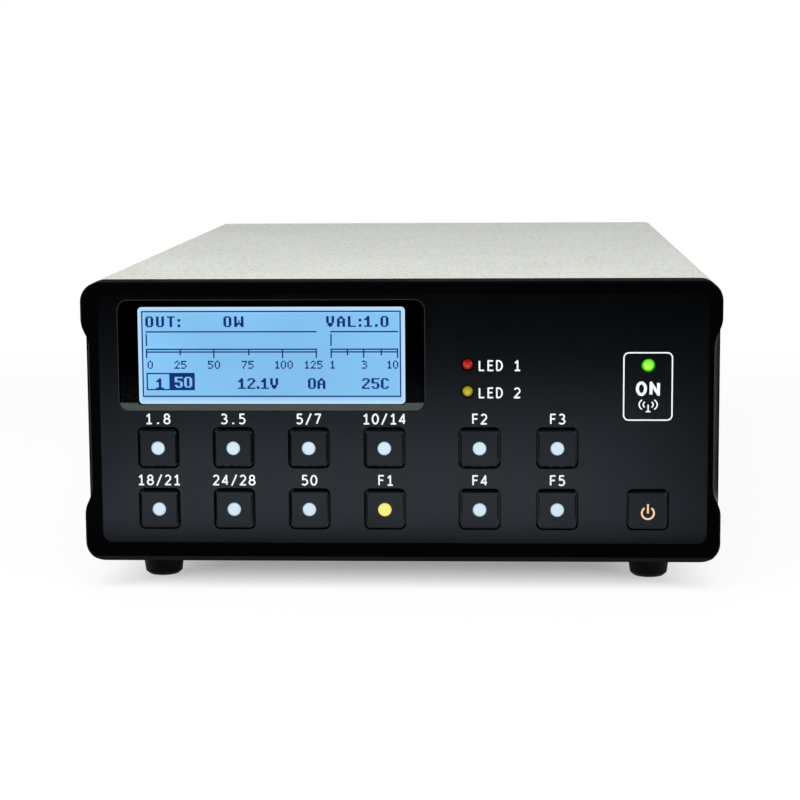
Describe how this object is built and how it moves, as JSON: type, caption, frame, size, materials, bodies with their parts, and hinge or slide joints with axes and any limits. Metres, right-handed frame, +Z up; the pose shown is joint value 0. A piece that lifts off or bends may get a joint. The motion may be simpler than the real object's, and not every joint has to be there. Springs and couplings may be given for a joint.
{
  "type": "hf linear amplifier",
  "caption": "Desk-top HF linear amplifier: dark keyed front with a wide lit display, pale sheet-metal case, rubber feet, rear fan and coaxial sockets.",
  "frame": {"origin": "on the desk, under the centre of the unit's bounding box", "axes": "+X to the user's right, +Y from the front to the rear, +Z up; the front faces -Y"},
  "size_m": [0.1606, 0.2806, 0.0784],
  "materials": {
    "board_green": "solder mask",
    "brass_plated": "bright",
    "ceramic_white": "satin",
    "chassis_steel": "fine texture",
    "coil_copper": "enamelled",
    "cover_paint": "fine texture",
    "face_charcoal": "satin",
    "fan_black": "satin",
    "ferrite_grey": "matt",
    "foot_rubber": "matt",
    "key_charcoal": "fine matt",
    "lamp_green": "gloss",
    "lamp_red": "gloss",
    "lamp_yellow": "gloss",
    "lcd_blue": "lit",
    "moulding_black": "fine matt",
    "panel_black": "satin",
    "pipe_white": "frosted",
    "pipe_yellow": "frosted",
    "relay_orange": "gloss",
    "screw_steel": "zinc plated",
    "sink_aluminium": "as extruded",
    "socket_black": "satin",
    "socket_nickel": "bright",
    "switch_black": "matt",
    "window_acrylic": "gloss"
  },
  "bodies": {
    "case": {"front_bezel": "moulding_black", "front_overlay": "face_charcoal", "display_window": "window_acrylic", "lcd_module": "lcd_blue", "control_board": "board_green", "key_switches": "switch_black", "front_screws": "screw_steel", "fault_lamp": "lamp_red", "overdrive_lamp": "lamp_yellow", "on_air_lamp": "lamp_green", "base_chassis": "chassis_steel", "top_cover": "cover_paint", "cover_screws": "screw_steel", "feet": "foot_rubber", "foot_screws": "screw_steel", "heatsink": "sink_aluminium", "heatsink_screws": "screw_steel", "amplifier_board": "board_green", "amplifier_screws": "screw_steel", "power_transistors": "ceramic_white", "output_transformer": "ferrite_grey", "filter_coils": "coil_copper", "relays": "relay_orange", "rear_panel": "panel_black", "panel_screws": "screw_steel", "fan_frame": "fan_black", "fan_guard": "screw_steel", "fan_screws": "screw_steel", "input_socket": "socket_nickel", "antenna_socket": "socket_nickel", "power_socket": "socket_black", "control_jacks": "socket_black", "ground_post": "brass_plated"},
    "fan_wheel": {"fan_rotor": "fan_black"},
    "1_8_button": {"key_1_8": "key_charcoal", "lens_1_8": "pipe_white"},
    "3_5_button": {"key_3_5": "key_charcoal", "lens_3_5": "pipe_white"},
    "5_7_button": {"key_5_7": "key_charcoal", "lens_5_7": "pipe_white"},
    "10_14_button": {"key_10_14": "key_charcoal", "lens_10_14": "pipe_white"},
    "18_21_button": {"key_18_21": "key_charcoal", "lens_18_21": "pipe_white"},
    "24_28_button": {"key_24_28": "key_charcoal", "lens_24_28": "pipe_white"},
    "50_button": {"key_50": "key_charcoal", "lens_50": "pipe_white"},
    "auto_button": {"key_auto": "key_charcoal", "lens_auto": "pipe_yellow"},
    "info_button": {"key_info": "key_charcoal", "lens_info": "pipe_white"},
    "bypass_button": {"key_bypass": "key_charcoal", "lens_bypass": "pipe_white"},
    "attenuator_button": {"key_attenuator": "key_charcoal", "lens_attenuator": "pipe_white"},
    "wireless_button": {"key_wireless": "key_charcoal", "lens_wireless": "pipe_white"},
    "power_button": {"key_power": "key_charcoal", "lens_power": "pipe_yellow"}
  },
  "joints": [
    {"name": "press_1_8", "type": "slide", "parent": "case", "child": "1_8_button", "axis": [0, 1, 0], "range_m": [0, 0.0006], "stiffness_N_per_m": 1500},
    {"name": "press_3_5", "type": "slide", "parent": "case", "child": "3_5_button", "axis": [0, 1, 0], "range_m": [0, 0.0006], "stiffness_N_per_m": 1500},
    {"name": "press_5_7", "type": "slide", "parent": "case", "child": "5_7_button", "axis": [0, 1, 0], "range_m": [0, 0.0006], "stiffness_N_per_m": 1500},
    {"name": "press_10_14", "type": "slide", "parent": "case", "child": "10_14_button", "axis": [0, 1, 0], "range_m": [0, 0.0006], "stiffness_N_per_m": 1500},
    {"name": "press_18_21", "type": "slide", "parent": "case", "child": "18_21_button", "axis": [0, 1, 0], "range_m": [0, 0.0006], "stiffness_N_per_m": 1500},
    {"name": "press_24_28", "type": "slide", "parent": "case", "child": "24_28_button", "axis": [0, 1, 0], "range_m": [0, 0.0006], "stiffness_N_per_m": 1500},
    {"name": "press_50", "type": "slide", "parent": "case", "child": "50_button", "axis": [0, 1, 0], "range_m": [0, 0.0006], "stiffness_N_per_m": 1500},
    {"name": "press_auto", "type": "slide", "parent": "case", "child": "auto_button", "axis": [0, 1, 0], "range_m": [0, 0.0006], "stiffness_N_per_m": 1500},
    {"name": "press_info", "type": "slide", "parent": "case", "child": "info_button", "axis": [0, 1, 0], "range_m": [0, 0.0006], "stiffness_N_per_m": 1500},
    {"name": "press_bypass", "type": "slide", "parent": "case", "child": "bypass_button", "axis": [0, 1, 0], "range_m": [0, 0.0006], "stiffness_N_per_m": 1500},
    {"name": "press_attenuator", "type": "slide", "parent": "case", "child": "attenuator_button", "axis": [0, 1, 0], "range_m": [0, 0.0006], "stiffness_N_per_m": 1500},
    {"name": "press_wireless", "type": "slide", "parent": "case", "child": "wireless_button", "axis": [0, 1, 0], "range_m": [0, 0.0006], "stiffness_N_per_m": 1500},
    {"name": "press_power", "type": "slide", "parent": "case", "child": "power_button", "axis": [0, 1, 0], "range_m": [0, 0.0006], "stiffness_N_per_m": 1500},
    {"name": "fan_spin", "type": "hinge", "parent": "case", "child": "fan_wheel", "pos_m": [0, 0.11155, 0.04285], "axis": [0, 1, 0], "continuous": true}
  ]
}
